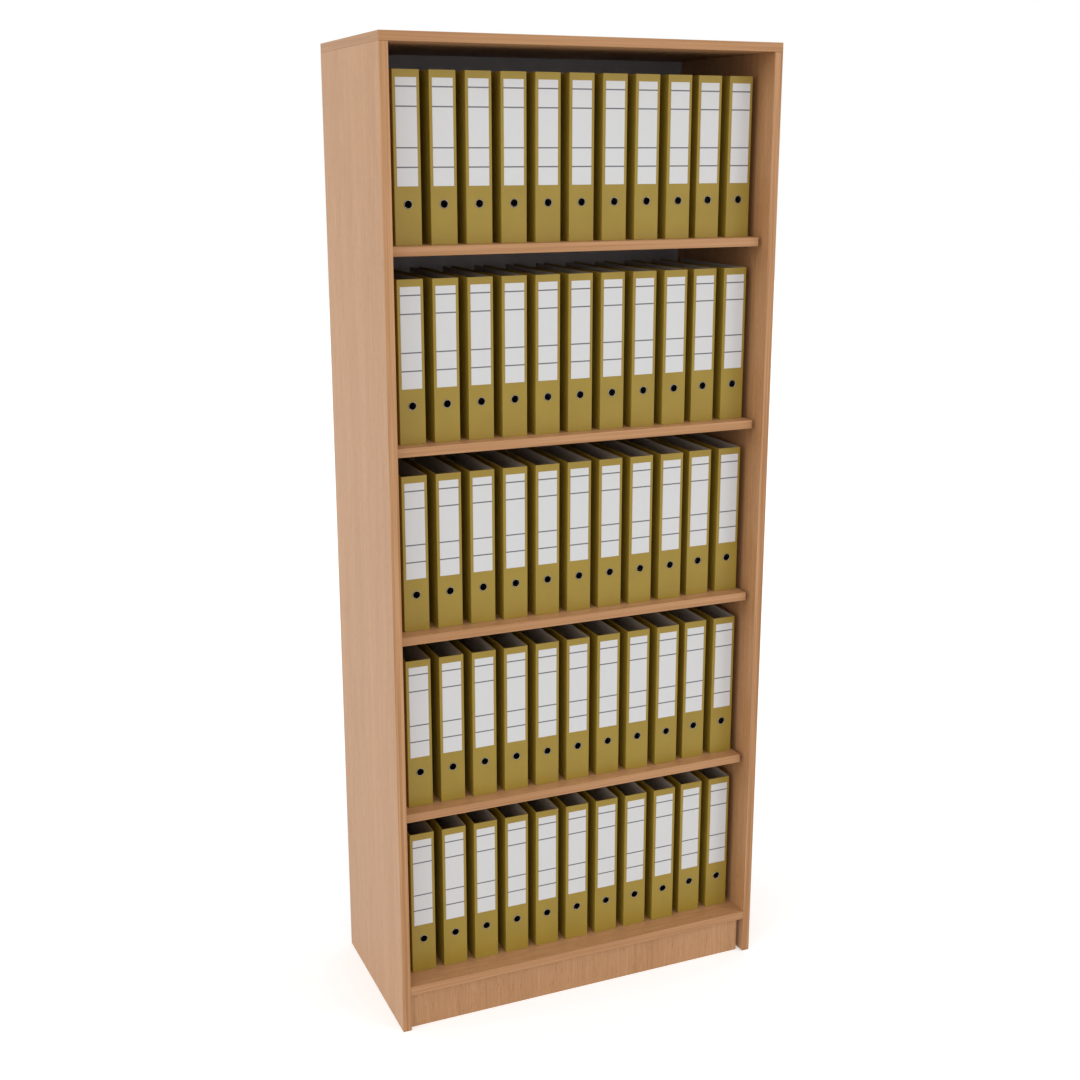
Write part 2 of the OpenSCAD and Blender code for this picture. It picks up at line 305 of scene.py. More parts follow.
@dataclass(frozen=True)
class Laminate:
    """Satin beech laminate, printed with a fine straight grain."""

    name: str
    run: Run
    light: Colour = (196, 149, 106)
    dark: Colour = (171, 123, 80)
    fleck: Colour = (150, 102, 60)
    contrast: float = 3.6
    wave: float = 0.6
    shift: Point = (0.0, 0.0, 0.0)

    def material(self) -> bpy.types.Material:
        """Mixes broad bands, streaks and hair lines, and adds short flecks.

        Returns:
            The material.
        """
        paint = Paint(self.name, roughness=0.45, specular=0.5)
        bands = paint.noise(self.run.stretch(across=14, along=0.9), detail=2, wave=0.3, shift=self.shift)
        streaks = paint.noise(
            self.run.stretch(across=120, along=4), detail=4, wave=self.wave, shift=self.shift,
        )
        hairs = paint.noise(self.run.stretch(across=650, along=14), detail=3, shift=self.shift)
        broad = paint.add_up(bands, streaks, share=0.6)
        figure = paint.add_up(broad, hairs, share=0.42)
        wood = paint.blend(paint.steepen(figure, self.contrast), self.dark, self.light)
        specks = paint.noise(self.run.stretch(across=620, along=55), detail=2, shift=self.shift)
        flecks = paint.steepen(specks, gain=5.0, middle=0.68)
        paint.colour(paint.blend(flecks, wood, self.fleck))
        paint.vary_roughness(figure, low=0.40, high=0.50)
        paint.bump(hairs, depth=0.04 * MM, strength=0.5)
        return paint.material


@dataclass(frozen=True)
class Edging:
    """Edging strip of the boards, with a plainer, streaky print."""

    name: str
    run: Run
    light: Colour = (190, 144, 104)
    dark: Colour = (161, 115, 74)
    contrast: float = 2.6
    upright_contrast: float = 4.6

    def material(self) -> bpy.types.Material:
        """Mixes long streaks with soft bands.

        Returns:
            The material.
        """
        paint = Paint(self.name, roughness=0.45, specular=0.25)
        streaks = paint.noise(self.run.stretch(across=280, along=3), detail=3)
        bands = paint.noise(self.run.stretch(across=45, along=1.5), detail=2)
        figure = paint.add_up(streaks, bands, share=0.35)
        contrast = self.upright_contrast if self.run is Run.ALONG_Z else self.contrast
        paint.colour(paint.blend(paint.steepen(figure, contrast), self.dark, self.light))
        paint.vary_roughness(streaks, low=0.37, high=0.47)
        paint.bump(streaks, depth=0.03 * MM, strength=0.4)
        return paint.material


@dataclass(frozen=True)
class Chipboard:
    """Raw chipboard, as it shows at the sawn rear and end faces of a board."""

    name: str = "raw_chipboard"
    pale: Colour = (206, 178, 134)
    brown: Colour = (150, 116, 76)

    def material(self) -> bpy.types.Material:
        """Scatters chips of two sizes over each other.

        Returns:
            The material.
        """
        paint = Paint(self.name, roughness=0.85, specular=0.2)
        chips = paint.cells((420, 420, 700))
        dust = paint.cells((1400, 1400, 1400))
        speckle = paint.add_up(chips, dust, share=0.4)
        paint.colour(paint.blend(speckle, self.brown, self.pale))
        paint.bump(speckle, depth=0.15 * MM, strength=0.6)
        return paint.material


@dataclass(frozen=True)
class BackBoard:
    """Matt grey back board with a faint speckle."""

    name: str = "grey_board"
    light: Colour = (175, 170, 173)
    dark: Colour = (161, 156, 159)

    def material(self) -> bpy.types.Material:
        """Adds a fine even speckle and soft clouds.

        Returns:
            The material.
        """
        paint = Paint(self.name, roughness=0.55, specular=0.35)
        speckle = paint.noise((900, 900, 900), detail=2)
        clouds = paint.noise((5, 5, 5), detail=3)
        figure = paint.add_up(speckle, clouds, share=0.4)
        paint.colour(paint.blend(paint.steepen(figure, gain=2.0), self.dark, self.light))
        paint.vary_roughness(clouds, low=0.5, high=0.62)
        paint.bump(speckle, depth=0.05 * MM, strength=0.5)
        return paint.material


@dataclass(frozen=True)
class DowelWood:
    """Raw pale wood of a dowel."""

    name: str
    run: Run
    light: Colour = (214, 184, 140)
    dark: Colour = (184, 150, 106)

    def material(self) -> bpy.types.Material:
        """Draws fine lines along the dowel.

        Returns:
            The material.
        """
        paint = Paint(self.name, roughness=0.7, specular=0.25)
        lines = paint.noise(self.run.stretch(across=900, along=25), detail=3)
        paint.colour(paint.blend(paint.steepen(lines, gain=2.5), self.dark, self.light))
        paint.bump(lines, depth=0.06 * MM, strength=0.5)
        return paint.material


@dataclass(frozen=True)
class PlatedSteel:
    """Plated steel with a fine uneven polish."""

    name: str
    light: Colour
    dark: Colour
    smooth: float
    rough: float
    spangle: float

    def material(self) -> bpy.types.Material:
        """Lets the plate's grain change the tone and the polish.

        Returns:
            The material.
        """
        paint = Paint(self.name, roughness=self.smooth, metallic=1.0)
        grain = paint.noise((self.spangle, self.spangle, self.spangle), detail=3)
        crystals = paint.cells((self.spangle, self.spangle, self.spangle))
        figure = paint.add_up(grain, crystals, share=0.35)
        paint.colour(paint.blend(figure, self.dark, self.light))
        paint.vary_roughness(grain, low=self.smooth, high=self.rough)
        paint.bump(grain, depth=0.01 * MM, strength=0.3)
        return paint.material


@dataclass(frozen=True)
class Covering:
    """Satin golden-olive covering of the files, finely embossed."""

    name: str = "olive_covering"
    light: Colour = (156, 131, 46)
    dark: Colour = (144, 118, 38)

    def material(self) -> bpy.types.Material:
        """Adds a leathery emboss and soft differences between the files.

        Returns:
            The material.
        """
        paint = Paint(self.name, roughness=0.48, specular=0.45)
        emboss = paint.noise((1700, 1700, 1700), detail=2)
        clouds = paint.noise((16, 16, 16), detail=3)
        figure = paint.add_up(emboss, clouds, share=0.55)
        paint.colour(paint.blend(paint.steepen(figure, gain=2.2), self.dark, self.light))
        paint.vary_roughness(clouds, low=0.4, high=0.52)
        paint.bump(emboss, depth=0.05 * MM, strength=0.5)
        return paint.material


@dataclass(frozen=True)
class Paper:
    """Matt paper: the files' grey lining, their labels, and the print on those."""

    name: str
    light: Colour
    dark: Colour
    roughness: float = 0.75
    fibre: Point = (1100, 1100, 700)
    wave: float = 0.4
    relief: float = 0.02 * MM
    strength: float = 0.3

    def material(self) -> bpy.types.Material:
        """Adds a hardly visible fibre.

        Returns:
            The material.
        """
        paint = Paint(self.name, roughness=self.roughness, specular=0.25)
        fibres = paint.noise(self.fibre, detail=3, wave=self.wave)
        paint.colour(paint.blend(paint.steepen(fibres, gain=2.0), self.dark, self.light))
        paint.bump(fibres, depth=self.relief, strength=self.strength)
        return paint.material


# The finishes that this object's pieces are dressed in, each with its own tones
UPRIGHT_BEECH = Laminate("beech_laminate_upright", Run.ALONG_Z)
LEVEL_BEECH = Laminate("beech_laminate_level", Run.ALONG_X, shift=(3.0, 7.0, 5.0))
SHELF_BEECH = Laminate("beech_laminate_shelf", Run.ALONG_X, shift=(11.0, 5.0, 2.0))
PLINTH_BEECH = Laminate(
    "beech_laminate_plinth", Run.ALONG_Z, light=(190, 144, 101), dark=(160, 115, 72), contrast=3.1,
    wave=2.0, shift=(4.0, 2.0, 9.0),
)
ZINC = PlatedSteel("zinc_plate", (190, 190, 193), (160, 161, 165), smooth=0.26, rough=0.4, spangle=900.0)
NICKEL = PlatedSteel("nickel_plate", (200, 200, 204), (172, 172, 177), smooth=0.2, rough=0.34, spangle=700.0)
RING_PLATE = PlatedSteel(
    "bright_plate", (158, 155, 150), (128, 125, 120), smooth=0.16, rough=0.28, spangle=1500.0,
)
LINING = Paper(
    "grey_lining", (192, 184, 175), (174, 166, 157), roughness=0.8, fibre=(1300, 1300, 500), wave=0.5,
    relief=0.03 * MM, strength=0.4,
)
LABEL_PAPER = Paper("label_paper", (212, 212, 211), (206, 205, 206))
RULE_PRINT = Paper("rule_print", (116, 115, 120), (106, 105, 110))


def clear_selection() -> None:
    """Deselects every object, so that the next operator acts on its own piece alone."""
    for item in bpy.context.selected_objects:
        item.select_set(False)


class Workpiece:
    """A mesh on the bench, shaped with Blender's modelling operators."""

    def __init__(self, item: bpy.types.Object, name: str) -> None:
        """Takes an object and names it.

        Args:
            item: the object.
            name: name of the object and its mesh.
        """
        self.item = item
        self.item.name = name
        self.item.data.name = name

    @classmethod
    def block(cls, name: str, box: Box) -> "Workpiece":
        """Saws a block to size.

        Args:
            name: name of the piece.
            box: its box.

        Returns:
            The block, with its place in its mesh.
        """
        clear_selection()
        bpy.ops.mesh.primitive_cube_add(size=1.0, location=box.centre)
        piece = cls(bpy.context.object, name)
        piece.item.scale = box.size
        bpy.ops.object.transform_apply(location=True, rotation=True, scale=True)
        return piece

    @classmethod
    def rod(cls, name: str, foot: Point, radius: float, length: float, sides: int) -> "Workpiece":
        """Cuts an upright rod to length.

        Args:
            name: name of the piece.
            foot: middle of its lower end.
            radius: its radius.
            length: its length.
            sides: number of its sides.

        Returns:
            The rod, with its place in its mesh.
        """
        clear_selection()
        middle = Vector(foot) + Vector((0, 0, length / 2))
        bpy.ops.mesh.primitive_cylinder_add(vertices=sides, radius=radius, depth=length, location=middle)
        piece = cls(bpy.context.object, name)
        bpy.ops.object.transform_apply(location=True, rotation=True, scale=True)
        return piece

    @classmethod
    def line(cls, name: str, points: Sequence[Vector]) -> "Workpiece":
        """Draws a line of edges from point to point.

        Args:
            name: name of the piece.
            points: the points, in order.

        Returns:
            The line, for a spin or an extrusion.
        """
        clear_selection()
        bpy.ops.mesh.primitive_plane_add(size=MM)
        piece = cls(bpy.context.object, name)
        with piece.editing("VERT"):
            bpy.ops.mesh.select_all(action="SELECT")
            bpy.ops.mesh.merge(type="CENTER")
            bpy.ops.transform.translate(value=points[0])
            for before, after in zip(points, points[1:]):
                bpy.ops.mesh.extrude_vertices_move(TRANSFORM_OT_translate={"value": after - before})
        return piece

    @classmethod
    def turned(cls, name: str, profile: Sequence[tuple[float, float]], steps: int) -> "Workpiece":
        """Turns a profile round the Z axis, as on a lathe.

        Args:
            name: name of the piece.
            profile: radius and height of each point, in order.
            steps: number of sides of the turned piece.

        Returns:
            The closed turned piece.
        """
        piece = cls.line(name, [Vector((radius, 0, height)) for radius, height in profile])
        with piece.editing("VERT"):
            bpy.ops.mesh.select_all(action="SELECT")
            bpy.ops.mesh.spin(steps=steps, angle=math.tau, center=(0, 0, 0), axis=(0, 0, 1))
            piece.tidy_seams()
        return piece

    def take(self) -> None:
        """Takes the piece in hand: it alone is selected and active."""
        clear_selection()
        self.item.select_set(True)
        bpy.context.view_layer.objects.active = self.item

    def scrap(self) -> None:
        """Throws the piece away."""
        bpy.data.objects.remove(self.item)

    @contextmanager
    def editing(self, mode: str = "FACE") -> Iterator[None]:
        """Opens the mesh in edit mode with nothing selected, and closes it again.

        Args:
            mode: what is selected: "VERT", "EDGE" or "FACE".
        """
        self.take()
        bpy.ops.object.mode_set(mode="EDIT")
        bpy.ops.mesh.select_mode(type=mode)
        bpy.ops.mesh.select_all(action="DESELECT")
        yield
        bpy.ops.object.mode_set(mode="OBJECT")

    def tidy_seams(self) -> None:
        """Merges doubled points and turns all faces outwards, in edit mode."""
        bpy.ops.mesh.select_all(action="SELECT")
        bpy.ops.mesh.remove_doubles(threshold=SAME)
        bpy.ops.mesh.normals_make_consistent(inside=False)

    def pick(self, kind: str, test: Callable[[object], bool]) -> None:
        """Selects elements in edit mode by their place or direction.

        Args:
            kind: "verts", "edges" or "faces".
            test: says whether an element is wanted.
        """
        bpy.ops.mesh.select_all(action="DESELECT")
        shape = bmesh.from_edit_mesh(self.item.data)
        for element in getattr(shape, kind):
            if test(element):
                element.select_set(True)
        shape.select_flush_mode()
        bmesh.update_edit_mesh(self.item.data)

    def round_edges(
        self, test: Callable[[bmesh.types.BMEdge], bool], width: float, segments: int
    ) -> "Workpiece":
        """Rounds or breaks the edges that pass a test.

        Args:
            test: says whether an edge is wanted.
            width: radius of the rounding.
            segments: number of its facets.

        Returns:
            The piece itself.
        """
        with self.editing("EDGE"):
            self.pick("edges", test)
            bpy.ops.mesh.bevel(offset=width, segments=segments, affect="EDGES", clamp_overlap=True)
        return self

    def break_arrises(self, width: float, segments: int = 2) -> "Workpiece":
        """Takes the sharpness off every outer edge."""
        return self.round_edges(
            lambda edge: edge.is_manifold and edge.is_convex and is_sharp(edge), width, segments
        )

    def apply(self, kind: str, **settings: object) -> "Workpiece":
        """Adds a modifier and applies it.

        Args:
            kind: type of the modifier.
            **settings: its settings.

        Returns:
            The piece itself.
        """
        self.take()
        modifier = self.item.modifiers.new(kind.lower(), kind)
        for name, value in settings.items():
            setattr(modifier, name, value)
        bpy.ops.object.modifier_apply(modifier=modifier.name)
        return self

    def cut_away(self, cutters: Sequence["Workpiece"]) -> "Workpiece":
        """Cuts shapes out of the piece.

        Args:
            cutters: pieces in those shapes, which are scrapped.

        Returns:
            The piece itself.
        """
        if cutters:
            cutter = Workpiece.joined("cutter", cutters)
            self.apply("BOOLEAN", operation="DIFFERENCE", solver="EXACT", object=cutter.item)
            cutter.scrap()
        return self

    def soften(self, degrees: float = 40.0) -> "Workpiece":
        """Shades round stretches smooth, and keeps flat faces flat.

        Args:
            degrees: edges that turn by more stay sharp.

        Returns:
            The piece itself.
        """
        self.take()
        bpy.ops.object.shade_smooth_by_angle(angle=math.radians(degrees))
        return self.apply("WEIGHTED_NORMAL", keep_sharp=True, weight=100)

    def moved(self, place: Matrix) -> "Workpiece":
        """Puts the piece in another place, in its mesh."""
        self.item.data.transform(place)
        return self

    def copy(self, name: str, place: Matrix) -> "Workpiece":
        """Makes a copy with a mesh of its own in another place.

        Args:
            name: name of the copy.
            place: where it goes, from the place of the piece.

        Returns:
            The copy.
        """
        twin = self.item.copy()
        twin.data = self.item.data.copy()
        bpy.context.scene.collection.objects.link(twin)
        return Workpiece(twin, name).moved(place)

    @classmethod
    def joined(cls, name: str, parts: Sequence["Workpiece"]) -> "Workpiece":
        """Joins separate pieces into one object.

        Args:
            name: name of the whole.
            parts: the pieces, which it takes up.

        Returns:
            The whole.
        """
        clear_selection()
        for part in parts:
            part.item.select_set(True)
        bpy.context.view_layer.objects.active = parts[0].item
        if len(parts) > 1:
            bpy.ops.object.join()
        return cls(parts[0].item, name)

    def dress(self, *finishes: bpy.types.Material) -> "Workpiece":
        """Gives the piece its materials.

        Args:
            *finishes: the materials, of which the first is on all faces until a repaint.

        Returns:
            The piece itself.
        """
        self.item.data.materials.clear()
        for finish in finishes:
            self.item.data.materials.append(finish)
        return self

    def repaint(self, number: int, test: Callable[[bpy.types.MeshPolygon], bool]) -> "Workpiece":
        """Gives some faces another of the piece's materials.

        Args:
            number: number of the material, from 0.
            test: says whether a face is wanted.

        Returns:
            The piece itself.
        """
        for face in self.item.data.polygons:
            if test(face):
                face.material_index = number
        return self

    def hand_over(self, body: str, node: str, slot: str) -> None:
        """Lets the piece stand for a CAD node and ride on its body.

        Args:
            body: the body that it moves with.
            node: the CAD node that it stands for.
            slot: the record's material slot; not used.
        """
        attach(self.item, body)
        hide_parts(node)
        LOG.info("%s stands for %s: %d faces", self.item.name, node, len(self.item.data.polygons))


def is_sharp(edge: bmesh.types.BMEdge) -> bool:
    """Says whether two faces meet at more than half a right angle."""
    return edge.calc_face_angle(0.0) > math.radians(45)


def faces_along(axis: int) -> Callable[[object], bool]:
    """Gives a test for faces that look along an axis, either way."""
    return lambda face: abs(face.normal[axis]) > FACING


def edge_along(edge: bmesh.types.BMEdge, axis: int) -> bool:
    """Says whether an edge runs along an axis."""
    way = edge.verts[1].co - edge.verts[0].co
    return abs(way[axis]) > RUNNING * way.length


def edge_at(edge: bmesh.types.BMEdge, axis: int, place: float) -> bool:
    """Says whether both ends of an edge lie in one plane across an axis."""
    return all(abs(vert.co[axis] - place) < SAME for vert in edge.verts)


def lay_along(axis: int) -> Matrix:
    """Gives the turn that lays a piece made along +Z along another axis."""
    ways = {X: Vector((1, 0, 0)), Y: Vector((0, 1, 0)), Z: Vector((0, 0, 1))}
    return ways[Z].rotation_difference(ways[axis]).to_matrix().to_4x4()


@dataclass
class Joinery:
    """The hidden fixings of the bookcase: dowels, shelf studs and back screws."""

    dowel_flutes: int = 12
    dowel_chamfer: float = 1.2 * MM
    flute_depth: float = 0.3 * MM
    flute_edge: float = 0.1 * MM
    end_space: float = 1.0 * MM
    stud_radius: float = 2.5 * MM
    stud_collar: float = 1.5 * MM
    stud_chamfer: float = 0.8 * MM
    stud_nose: float = 0.24 * MM
    stud_lip: float = 0.3 * MM
    stud_in: float = 10.0 * MM
    stud_steps: int = 32
    screw_radius: float = 1.75 * MM
    screw_head: float = 2.5 * MM
    screw_rim: float = 0.2 * MM
    screw_tip: float = 3.0 * MM
    screw_steps: int = 24
    # Each screw stopped a little further round than the one before it, in radians
    screw_turn: float = 1.1
    thread_pitch: float = 1.4 * MM
    thread_depth: float = 0.45 * MM
    recess: float = 3.6 * MM
    recess_slot: float = 0.9 * MM
    recess_depth: float = 1.5 * MM
    play: float = 0.05 * MM
    bore_sides: int = 32
    countersink_over: float = 0.5 * MM
    dowels: list[Box] = field(default_factory=lambda: solids_of("dowels"))
    studs: list[Box] = field(default_factory=lambda: solids_of("shelf_studs"))
    screws: list[Box] = field(default_factory=lambda: solids_of("back_screws"))

    def dowel(self) -> Workpiece:
        """Makes one dowel, chamfered and fluted.

        Returns:
            The dowel, upright round the origin.
        """
        size = self.dowels[0].size
        radius, length = min(size) / 2, max(size)
        sides = 3 * self.dowel_flutes
        piece = Workpiece.rod("dowel", (0, 0, -length / 2), radius, length, sides)
        piece.round_edges(lambda edge: not edge_along(edge, Z), self.dowel_chamfer, segments=1)
        with piece.editing():
            piece.pick("faces", lambda face: abs(face.normal.z) < 1 - FACING and self.is_flute(face))
            bpy.ops.mesh.inset(thickness=self.flute_edge, depth=-self.flute_depth, use_individual=True)
        return piece

    def is_flute(self, face: bmesh.types.BMFace) -> bool:
        """Says whether a side of a dowel is one of its flutes."""
        turn = math.atan2(face.normal.y, face.normal.x) / math.tau * 3 * self.dowel_flutes
        return round(turn - 0.5) % 3 == 0

    def build_dowels(self) -> None:
        """Places a dowel in each joint."""
        master = self.dowel()
        woods = {
            Z: DowelWood("upright_dowel_wood", Run.ALONG_Z).material(),
            X: DowelWood("level_dowel_wood", Run.ALONG_X).material(),
        }
        parts = []
        for number, box in enumerate(self.dowels, 1):
            place = Matrix.Translation(box.centre) @ lay_along(box.long_axis)
            parts.append(master.copy(f"dowel_{number}", place).dress(woods[box.long_axis]))
        master.scrap()
        Workpiece.joined("wooden_dowels", parts).hand_over("carcass", "dowels", "dowel_wood")

    def stud(self) -> Workpiece:
        """Makes one stud.

        Returns:
            The stud: the side's face is at z = 0, and +z runs into the bookcase.
        """
        size = self.studs[0].size
        collar, length = min(size) / 2, max(size)
        tip, radius = length - self.stud_in, self.stud_radius
        return Workpiece.turned("stud", [
            (0, -self.stud_in),
            (radius - self.stud_chamfer, -self.stud_in),
            (radius, self.stud_chamfer - self.stud_in),
            (radius, 0),
            (collar, 0),
            (collar, self.stud_collar - self.stud_lip),
            (collar - self.stud_lip, self.stud_collar),
            (radius, self.stud_collar),
            (radius, tip - self.stud_chamfer),
            (radius - self.stud_nose, tip - self.stud_nose),
            (radius - self.stud_chamfer, tip),
            (0, tip),
        ], self.stud_steps).soften()

    def build_studs(self) -> None:
        """Places the studs in both sides."""
        master = self.stud().dress(ZINC.material())
        parts = []
        for number, box in enumerate(self.studs, 1):
            side = math.copysign(1, box.centre.x)
            outer = min(abs(box.low.x), abs(box.high.x))
            face = Vector((side * (outer + max(box.size) - self.stud_in), box.centre.y, box.centre.z))
            turn = Matrix.Rotation(-side * math.pi / 2, 4, "Y")
            parts.append(master.copy(f"stud_{number}", Matrix.Translation(face) @ turn))
        master.scrap()
        Workpiece.joined("shelf_support_studs", parts).hand_over("carcass", "shelf_studs", "steel")

    def screw(self) -> Workpiece:
        """Makes one countersunk screw.

        Returns:
            The screw: its head is at z = 0, and +z runs to its tip.
        """
        size = self.screws[0].size
        head, length = min(size) / 2, max(size)
        root = self.screw_radius - self.thread_depth
        height = self.screw_head
        profile = [(0, 0), (head - self.screw_rim, 0), (head, self.screw_rim), (root, height)]
        while height + self.thread_pitch < length - self.screw_tip:
            profile.append((self.screw_radius, height + self.thread_pitch / 2))
            height += self.thread_pitch
            profile.append((root, height))
        profile += [(root, length - self.screw_tip), (0, length)]
        piece = Workpiece.turned("screw", profile, self.screw_steps).soften(degrees=50)
        for wide, deep in ((self.recess, self.recess_slot), (self.recess_slot, self.recess)):
            corner = Vector((wide / 2, deep / 2, self.recess_depth))
            piece.cut_away([Workpiece.block("slot", Box(-corner, corner))])
        return piece

    def build_screws(self) -> None:
        """Drives the screws into the back board."""
        master = self.screw().dress(bpy.data.materials[ZINC.name])
        parts = []
        for number, box in enumerate(self.screws, 1):
            head = Vector((box.centre.x, box.high.y, box.centre.z))
            spin = Matrix.Rotation(number * self.screw_turn, 4, "Z")
            place = Matrix.Translation(head) @ Matrix.Rotation(math.pi / 2, 4, "X") @ spin
            parts.append(master.copy(f"screw_{number}", place))
        master.scrap()
        Workpiece.joined("countersunk_screws", parts).hand_over("carcass", "back_screws", "steel")

    def bore(self, centre: Vector, axis: int, radius: float, length: float) -> Workpiece:
        """Makes the cutter of a round bore.

        Args:
            centre: middle of the bore.
            axis: axis that it runs along.
            radius: radius of the fixing in it.
            length: length of the bore.

        Returns:
            The cutter, a little wider than the fixing.
        """
        rod = Workpiece.rod("bore", (0, 0, -length / 2), radius + self.play, length, self.bore_sides)
        return rod.moved(Matrix.Translation(centre) @ lay_along(axis))

    def countersink(self, box: Box) -> Workpiece:
        """Makes the cutter of a countersunk hole.

        Args:
            box: box of the screw.

        Returns:
            The cutter, a little wider than the screw.
        """
        head, length = min(box.size) / 2 + self.play, max(box.size) + self.play
        shank, over = self.screw_radius + self.play, self.countersink_over
        slope = (head - shank) / self.screw_head
        cone = Workpiece.turned("countersink", [
            (0, -over), (head + slope * over, -over), (shank, self.screw_head), (shank, length), (0, length),
        ], self.screw_steps)
        spot = Vector((box.centre.x, box.high.y, box.centre.z))
        return cone.moved(Matrix.Translation(spot) @ Matrix.Rotation(math.pi / 2, 4, "X"))

    def bores(self, board: Box) -> list[Workpiece]:
        """Makes a cutter for each fixing that enters a board.

        Args:
            board: box of the board.

        Returns:
            The cutters, each a little wider than its fixing.
        """
        cutters = []
        for box in board.entered_by(self.dowels):
            length = max(box.size) + 2 * self.end_space
            cutters.append(self.bore(box.centre, box.long_axis, min(box.size) / 2, length))
        for box in board.entered_by(self.studs):
            side = math.copysign(1, box.centre.x)
            outer = max(abs(box.low.x), abs(box.high.x)) + self.play
            length = self.stud_in + self.end_space
            centre = Vector((side * (outer - length / 2), box.centre.y, box.centre.z))
            cutters.append(self.bore(centre, X, self.stud_radius, length))
        return cutters + [self.countersink(box) for box in board.entered_by(self.screws)]

    def build(self) -> None:
        """Builds all the fixings."""
        self.build_dowels()
        self.build_studs()
        self.build_screws()


@dataclass
class Carcass:
    """The fixed part of the bookcase: sides, top, bottom, plinth, back and edging."""

    joinery: Joinery
    arris: float = 0.3 * MM
    strip_radius: float = 1.2 * MM
    back_play: float = 0.5 * MM
    top_joint: float = 0.02 * MM
    rebate_over: float = 1.0 * MM
    raw: bpy.types.Material = field(default_factory=lambda: Chipboard().material())

    def side(self, node: str, name: str, laminate: bpy.types.Material) -> None:
        """Builds one side, with the rebate for the back board along its rear edge.

        Args:
            node: CAD node of the side.
            name: name of the piece.
            laminate: its finish.
        """
        box, back = Box.of_node(node), Box.of_node("back_panel")
        hand = math.copysign(1, box.centre.x)
        inner = min(abs(box.low.x), abs(box.high.x))
        depth = max(abs(back.low.x), abs(back.high.x)) + self.back_play
        over = self.rebate_over
        reach = sorted((hand * (inner - over), hand * depth))
        rebate = Box(
            Vector((reach[0], back.low.y, box.low.z - over)),
            Vector((reach[1], box.high.y + over, box.high.z + over)),
        )
        piece = Workpiece.block(name, box).cut_away([Workpiece.block("rebate", rebate)])
        piece.break_arrises(self.arris).cut_away(self.joinery.bores(box)).dress(laminate, self.raw)
        piece.repaint(1, lambda face: face.normal.y > FACING or abs(face.normal.z) > FACING)
        piece.repaint(1, lambda face: face.center.y > back.low.y and abs(abs(face.center.x) - depth) < SAME)
        piece.hand_over("carcass", node, "beech")

    def board(self, node: str, name: str, laminate: bpy.types.Material, raw_axes: Sequence[int]) -> None:
        """Builds a flat board with sawn ends.

        Args:
            node: CAD node of the board.
            name: name of the piece.
            laminate: its finish.
            raw_axes: axes that its raw end faces look along.
        """
        box = Box.of_node(node)
        piece = Workpiece.block(name, box).break_arrises(self.arris)
        piece.cut_away(self.joinery.bores(box)).dress(laminate, self.raw)
        for axis in raw_axes:
            piece.repaint(1, faces_along(axis))
        piece.hand_over("carcass", node, "beech")

    def back(self) -> None:
        """Builds the back board with its countersunk holes, close up to the top board."""
        box = Box.of_node("back_panel")
        box.high.z = Box.of_node("top_panel").low.z - self.top_joint
        piece = Workpiece.block("grey_back_board", box).break_arrises(self.arris, segments=1)
        piece.cut_away(self.joinery.bores(box)).dress(BackBoard().material())
        piece.hand_over("carcass", "back_panel", "back_board")

    def edging(self) -> None:
        """Glues the six strips on: sides, top front, bottom front and both top ends."""
        strips = [
            edging_strip(f"strip_{number}", box, self.strip_radius)
            for number, box in enumerate(solids_of("carcass_edging"), 1)
        ]
        whole = Workpiece.joined("carcass_edging_strips", strips)
        whole.hand_over("carcass", "carcass_edging", "beech_edge")

    def build(self) -> None:
        """Builds every piece of the carcass."""
        upright, level = UPRIGHT_BEECH.material(), LEVEL_BEECH.material()
        self.side("left_side", "left_side_board", upright)
        self.side("right_side", "right_side_board", upright)
        self.board("top_panel", "top_board", level, (Y,))
        self.board("bottom_panel", "bottom_board", level, (X, Y))
        self.board("plinth", "plinth_board", PLINTH_BEECH.material(), (X,))
        self.back()
        self.edging()
        self.joinery.build()


def edging_material(run: Run) -> bpy.types.Material:
    """Gives the edging finish for one direction, made once."""
    name = "beech_edging_" + run.name.lower()
    return bpy.data.materials.get(name) or Edging(name, run).material()


def edging_strip(name: str, box: Box, radius: float) -> Workpiece:
    """Makes an edging strip with its outer corners rounded.

    Args:
        name: name of the strip.
        box: its box.
        radius: radius of its outer corners.

    Returns:
        The strip in its finish.
    """
    thin = min((X, Y, Z), key=lambda axis: box.size[axis])
    # The outer face looks away from the bookcase: to the front, or out at either end of the top
    outer = box.low[thin] if box.centre[thin] < 0 else box.high[thin]
    piece = Workpiece.block(name, box)
    piece.round_edges(lambda edge: edge_at(edge, thin, outer), radius, segments=4).soften()
    return piece.dress(edging_material(Run(box.long_axis)))


@dataclass
class LooseShelf:
    """One adjustable shelf with its front edging strip."""

    number: int
    arris: float = 0.3 * MM
    strip_radius: float = 1.2 * MM

    def build(self, laminate: bpy.types.Material, raw: bpy.types.Material) -> None:
        """Builds the board and its strip.

        Args:
            laminate: finish of the board.
            raw: finish of its sawn ends.
        """
        body = f"shelf_{self.number}"
        board = Workpiece.block(f"loose_shelf_board_{self.number}", Box.of_node(body))
        board.break_arrises(self.arris).dress(laminate, raw)
        board.repaint(1, faces_along(X)).repaint(1, faces_along(Y))
        board.hand_over(body, body, "beech")
        box = Box.of_node(f"{body}_edging")
        strip = edging_strip(f"loose_shelf_edging_{self.number}", box, self.strip_radius)
        strip.hand_over(body, f"{body}_edging", "beech_edge")


